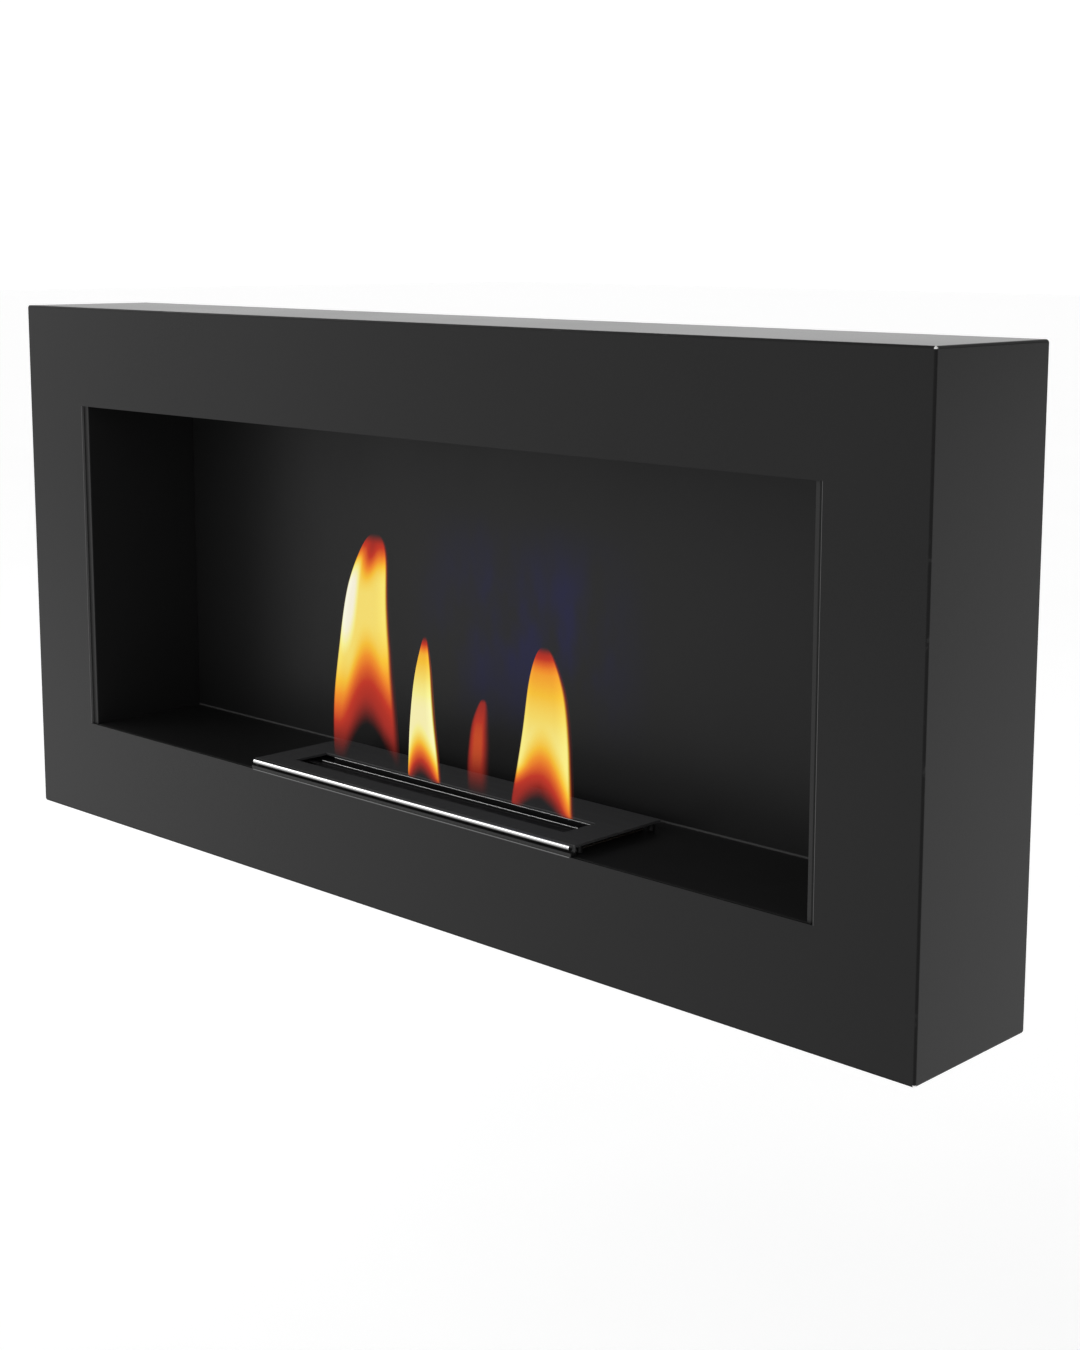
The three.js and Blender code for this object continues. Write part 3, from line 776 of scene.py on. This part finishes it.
tank_low, tank_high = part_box("fuel_reservoir")
weld_sink = 0.35 * MM
weld_from = tank_low.z + 0.8 * MM
weld_to = tank_high.z - 1.6 * MM
for number, (side, depth) in enumerate(((-1, -1), (1, -1), (1, 1), (-1, 1)), 1):
    x = tank_low.x + tank_flange if side < 0 else tank_high.x - tank_flange
    y = tank_low.y + tank_flange if depth < 0 else tank_high.y - tank_flange
    out = Vector((side, depth, 0)).normalized()
    base = Vector((x, y, weld_from)) - out * weld_sink
    top = Vector((x, y, weld_to)) - out * weld_sink
    across = Vector((-depth, side, 0)).normalized()
    weld = ridge(
        f"tank_corner_weld_{number}", base, top,
        across, out, width=1.5 * MM, height=0.45 * MM, ripples=30,
    )
    fit_piece(weld, "burner", tank_steel, "burner_steel")

wool = felted("ceramic_wool", "wool_block", pitch=9 * MM, swell=0.9 * MM, seed=5)
wool_fibre = fibre("wool_fibre", (0.82, 0.80, 0.75))
fit_piece(wool, "burner", wool_fibre, "ceramic_fibre", "ceramic_wool")
from_node("wool_grid", "wool_keeper", "burner", tank_steel, "burner_steel", 0.15 * MM)


# ---- Burner lid, its screws and the damper guides -----------------------------------------------
# The lid is 1.2 mm stainless steel with the fixed edge of the slot standing up from it and the
# tool pocket pressed in. It is coloured dark as painted shade under the cover; only the tops of
# the edges are left bright, as lit steel.

edge_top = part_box("burner_lid")[1].z
lit_top_depth = 0.22 * MM
lit_top_blend = 0.12 * MM


def shade_painted_steel(name, top):
    """Steel coloured dark as painted shade, its top left bright as lit steel."""
    look = Look(name)
    z = look.axes()[2]
    lines = look.noise(80, 4, (1, 30, 30), 0.7)
    smear = look.noise(18, 4)
    bright_from = top - lit_top_depth
    bright = z.step(bright_from - lit_top_blend, bright_from + lit_top_blend)
    relief = look.bump(lines, 0.01 * MM)
    painted_shade_surface = look.surface(
        Base_Color=look.mix(smear, (0.006, 0.006, 0.0065), (0.011, 0.0105, 0.011)),
        Metallic=0.6,
        Roughness=0.42 + 0.1 * smear,
        IOR=1.4,
        Normal=relief,
    )
    wear_and_lit_top = look.surface(
        Base_Color=look.mix(lines, grey(0.62), grey(0.8)),
        Metallic=1.0,
        Roughness=0.25 + 0.15 * lines,
        Normal=relief,
    )
    return look.done(look.blend(bright, painted_shade_surface, wear_and_lit_top))


edge_steel = shade_painted_steel("shaded_edge_steel", edge_top)
from_node("burner_lid", "slot_lid", "burner", edge_steel, "burner_steel", 0.2 * MM)
for side in ("left", "right"):
    node = f"damper_guide_{side}"
    from_node(node, f"shutter_guide_{side}", "burner", edge_steel, "burner_steel", 0.15 * MM)

shank = 1.5 * MM
head_height = 1.4 * MM
dome_rise = 1.1 * MM
for number in range(1, 5):
    node = f"lid_screw_{number}"
    foot, head, length = round_size(node, 2)
    profile = [
        (0, 0),
        (shank * 0.7, 0),
        (shank, 0.4 * MM),
        (shank, length - head_height),
        (head, length - head_height),
        *dome(head, length, dome_rise, (0.15, 0.5, 0.85, 1.2)),
        (0, length),
    ]
    screw = turned(f"pan_screw_{number}", profile, foot, (0, 0, 1))
    turn = screw_draw.uniform(0, math.pi)
    cut_cross(screw, length, reach=0.55 * head, depth=0.8 * MM, turn=turn)
    fit_piece(screw, "burner", tank_steel, "burner_steel", node)


# ---- Burner cover plate, trim bar and spacers ----------------------------------------------------
# The cover is 2 mm steel in the same black coat, a shade greyer, its front folded down into a lip.
# A polished half-round bar is fixed along its front edge, and four welded spacers hold it off the
# Its underside, lip and spacers are darkened as painted shade, and the lower part of the bar as a
# painted dark reflection.

cover_low, cover_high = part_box("burner_cover_plate")


def cover_coat():
    look = Look("burner_coat")
    x, y, z = look.axes()
    cloud = look.noise(9, 3)
    peel = look.noise(800, 2)
    streak = look.noise(30, 4, (1, 6, 1), 0.6)
    middle = (cover_low.x + cover_high.x) / 2
    to_edge = (cover_high.x - middle - abs(x - middle)).least(cover_high.y - y)
    edge_wear_and_sill_highlight = to_edge.step(1.6 * MM, 0.5 * MM) * look.noise(150, 3).step(0.5, 0.7)
    # Painted shade: everything a few millimetres below the top (lip, underside and spacers) is
    # darkened.
    painted_shade_below = z.step(cover_high.z - 3.8 * MM, cover_high.z - 5.2 * MM)
    colour = look.mix(cloud, grey(0.037, 0.001), grey(0.046, 0.001))
    colour = look.mix(edge_wear_and_sill_highlight * 0.4, colour, grey(0.07))
    colour = look.mix(painted_shade_below, colour, grey(0.008))
    return look.done(look.surface(
        Base_Color=colour,
        Roughness=0.5 + 0.14 * (streak - 0.5) + 0.06 * (peel - 0.5),
        IOR=1.35,
        Normal=look.bump(peel, 0.02 * MM),
    ))


def polished():
    look = Look("polished_steel")
    z = look.axes()[2]
    lines = look.noise(90, 3, (0.5, 30, 30), 0.6)
    smear = look.noise(20, 3)
    # Painted reflection: the bar's lower part is darkened, as if it mirrors the dark below it.
    painted_shade_below = z.step(bar_low.z + 2.9 * MM, bar_low.z + 0.9 * MM)
    colour = look.mix(lines, grey(0.70), grey(0.80))
    return look.done(look.surface(
        Base_Color=look.mix(painted_shade_below * 0.93, colour, grey(0.03)),
        Metallic=1.0,
        Roughness=0.09 + 0.10 * lines + 0.06 * smear,
        Normal=look.bump(lines, 0.004 * MM),
    ))


cover_finish = cover_coat()
from_node("burner_cover_plate", "cover_plate", "burner", cover_finish, "burner_coat", 0.35 * MM, 3)
from_node("burner_trim_bar", "trim_bar", "burner", polished(), "polished_steel", 0.15 * MM)

ease = 0.3 * MM
for number in range(1, 5):
    node = f"cover_spacer_{number}"
    foot, radius, length = round_size(node, 2)
    profile = [
        (0, 0),
        (radius - ease, 0),
        (radius, ease),
        (radius, length - ease),
        (radius - ease, length),
        (0, length),
    ]
    spacer = turned(f"spacer_{number}", profile, foot, (0, 0, 1))
    fit_piece(spacer, "burner", cover_finish, "burner_coat", node)


# ---- Damper --------------------------------------------------------------------------------------
# A 1.2 mm steel strip that slides back over the slot to put the fire out. Its rear edge is turned
# up beside the slot, and a hole at its left end takes the tool that moves it.

# Like the lid, the shutter is coloured dark as painted shade, its turned-up edge left bright as lit
# steel.
shutter_steel = shade_painted_steel("shutter_steel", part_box("damper_strip")[1].z)
from_node("damper_strip", "damper_shutter", "damper", shutter_steel, "damper_steel", 0.2 * MM)


# ---- Flames ----------------------------------------------------------------------------------------
# Four tongues of burning vapour stand in the slot: yellow-white inside, orange round that and red
# at the rim, and clear over the slot. They aren't solid. The shutter puts them out: as it closes,
# they sink under the lid. Their sizes are in millimetres.

flame_y = -16.0
flame_floor = edge_top / MM + 0.4
rim_heat = 0.13


def curve_through(values, share):
    """A smooth curve through evenly spread values, read at a share of its length."""
    spans = len(values) - 1
    at = min(share * spans, spans - 1e-9)
    i = int(at)
    t = at - i
    before = values[max(i - 1, 0)]
    here = values[i]
    there = values[i + 1]
    after = values[min(i + 2, spans)]
    slope = there - before
    bend = 2 * before - 5 * here + 4 * there - after
    twist = 3 * here - before - 3 * there + after
    return 0.5 * (2 * here + slope * t + bend * t * t + twist * t * t * t)


def tongue(name, middle, half, tip, blunt, depth, size, looks):
    """One closed skin of a flame. middle and half give its line and half width from the slot up,
    tip its top, and blunt how round that is: 4 is a point and 10 a dome."""
    levels = 56
    turns = 40
    build = bmesh.new()
    kinds = ("across", "upward", "rear")
    across, upward, rear = [build.verts.layers.float.new(kind) for kind in kinds]
    rings = []
    for i in range(levels + 1):
        share = i / levels
        rise = math.sin(share * math.pi / 2)
        pinch = math.sqrt(max(0.0, 1 - rise ** blunt)) * size
        belly = min(1.0, share / 0.04) ** 0.5 * (0.7 + 0.3 * math.sin(math.pi * rise))
        half_x = curve_through(half, rise) * pinch
        half_y = depth / 2 * pinch * belly
        centre_x = curve_through(middle, rise)
        centre_y = flame_y + 1.2 * math.sin(5.0 * rise + tip)
        z = flame_floor + (tip - flame_floor) * rise
        at_end = i in (0, levels)
        ring = []
        for j in range(1 if at_end else turns):
            angle = 2 * math.pi * j / turns
            u = 0 if at_end else math.cos(angle)
            w = 0 if at_end else math.sin(angle)
            vert = build.verts.new(Vector((centre_x + half_x * u, centre_y + half_y * w, z)) * MM)
            vert[across] = u * size
            vert[upward] = rise
            vert[rear] = w
            ring.append(vert)
        rings.append(ring)
    skin_over(build, rings, turns)
    piece = mesh_piece(name, build)
    piece.data.materials.append(looks)
    piece.visible_shadow = False
    piece.visible_diffuse = False
    piece.visible_glossy = False
    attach(piece, "burner")
    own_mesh(piece)
    return piece


def fire(name, solid, full, top, clear, hot, foot, lean=0.0, legs=((-1, 0), (-1, 0)),
         core=None, notch=0.0, rims=(0.06, 0.12), soft=0.14):
    """A flame's look. top is the depth of its cooler tip, near and far; clear and hot the heights
    of the arch over the slot; legs the heights its two feet warm over, left and right; foot the
    fade at the slot; core (across, up, half width, half height, gain) its white spot. Only the
    half of the skin toward the window is drawn."""
    look = Look(name)
    u, v, rear = [
        look.node("ShaderNodeAttribute", {"attribute_name": kind}, {}, out="Fac")
        for kind in ("across", "upward", "rear")
    ]
    flow = look.noise(22, 3, (1, 1, 0.3), 0.5) - 0.5
    speck = look.noise(1500, 1) - 0.5
    side = u + flow * 0.12
    off_middle = abs(side - lean)
    under = v - clear * (1 - 1.1 * off_middle ** 1.6) + flow * 0.06
    warm = v - (clear - 0.05) * (1 - 2.2 * off_middle ** 2) + flow * 0.06
    crown = 1 - v + flow * 0.05
    tip = crown.step(0.0, top[0]) * 0.5 + crown.step(0.0, top[1]) * 0.5
    edge = (side + 1).step(0.0, rims[0]) * (1 - side).step(0.0, rims[1])
    right = side.step(-0.45, 0.45)
    feet = v.step(*legs[0]) * (1 - right) + v.step(*legs[1]) * right
    heat = rim_heat + (full - rim_heat) * tip * edge * feet * warm.step(-0.03, hot)
    if core:
        spot = 1 - ((side - core[0]) / core[2]) ** 2 - ((v - core[1]) / core[3]) ** 2
        heat = heat + spot.step(0.0, 0.9) * core[4]
    if notch:
        dip = abs(side - 0.05).step(0.6, 0.0) * v.step(0.74, 0.87) * crown.step(0.0, 0.12)
        heat = heat - dip * notch
    colour = look.node("ShaderNodeValToRGB", {"stops": fire_colours}, {0: heat + 0.045 * speck})
    fade = (side + 1).step(0.0, soft) * (1 - side).step(0.0, soft) * (1 - v).step(0.0, 0.05)
    thin = fade * under.step(-0.10, 0.04) * v.step(0.0, foot)
    return look.done(look.surface(
        Base_Color=grey(0),
        Roughness=1.0,
        Specular_IOR_Level=0.0,
        Emission_Color=colour,
        Emission_Strength=1.0,
        Alpha=thin * rear.step(0.35, -0.05) * solid,
    ))


fire_colours = [
    (0.00, (0.10, 0.012, 0.010)),
    (0.13, (0.352, 0.030, 0.023)),
    (0.25, (0.552, 0.045, 0.024)),
    (0.38, (0.807, 0.162, 0.027)),
    (0.50, (0.955, 0.332, 0.031)),
    (0.62, (0.99, 0.597, 0.048)),
    (0.74, (0.98, 0.79, 0.156)),
    (0.86, (0.99, 0.965, 0.33)),
    (0.94, (0.99, 0.97, 0.55)),
    (1.00, (0.99, 0.99, 0.81)),
]
shapes = {
    "tall": dict(
        middle=(-75.4, -75.3, -74.3, -72.5, -64), half=(38.4, 36.3, 30.4, 24.3, 19),
        tip=267, blunt=10, depth=11,
    ),
    "slim": dict(
        middle=(-12.6, -11.8, -11.4, -11.1, -10.7), half=(18.2, 15.6, 12.2, 9.0, 5),
        tip=197, blunt=7, depth=9,
    ),
    "faint": dict(
        middle=(46, 47, 48, 48, 50), half=(12, 12, 11.5, 10.5, 9),
        tip=160, blunt=5, depth=8,
    ),
    "broad": dict(
        middle=(110, 111.4, 112.4, 112.5, 111.6), half=(31.5, 27.4, 23.3, 19.3, 14),
        tip=206, blunt=7, depth=11,
    ),
}
fires = {
    "tall": dict(
        solid=1.0, full=0.76, top=(0.18, 0.22), clear=0.30, hot=0.40, lean=0.20,
        legs=((0.05, 0.50), (0.10, 0.65)), foot=0.22, core=(-0.66, 0.70, 0.50, 0.24, 0.24),
        notch=0.22,
    ),
    "slim": dict(solid=1.0, full=0.92, top=(0.12, 0.50), clear=0.15, hot=0.35, foot=0.06),
    "faint": dict(
        solid=0.85, full=0.30, top=(0.30, 0.40), clear=0.02, hot=0.5, foot=0.60,
        rims=(0.9, 0.7), soft=0.60,
    ),
    "broad": dict(
        solid=1.0, full=0.81, top=(0.16, 0.60), clear=0.20, hot=0.42,
        legs=((0.08, 0.30), (-1, 0)), foot=0.05,
    ),
}
rim = dict(solid=0.14, full=0.16, core=None, notch=0.0, soft=0.5)
for title, shape in shapes.items():
    inside = fire(f"fire_{title}_body", **fires[title])
    tongue(f"flame_{title}_body", size=0.98, looks=inside, **shape)
    outside = fire(f"fire_{title}_rim", **{**fires[title], **rim})
    tongue(f"flame_{title}_rim", size=1.07, looks=outside, **shape)
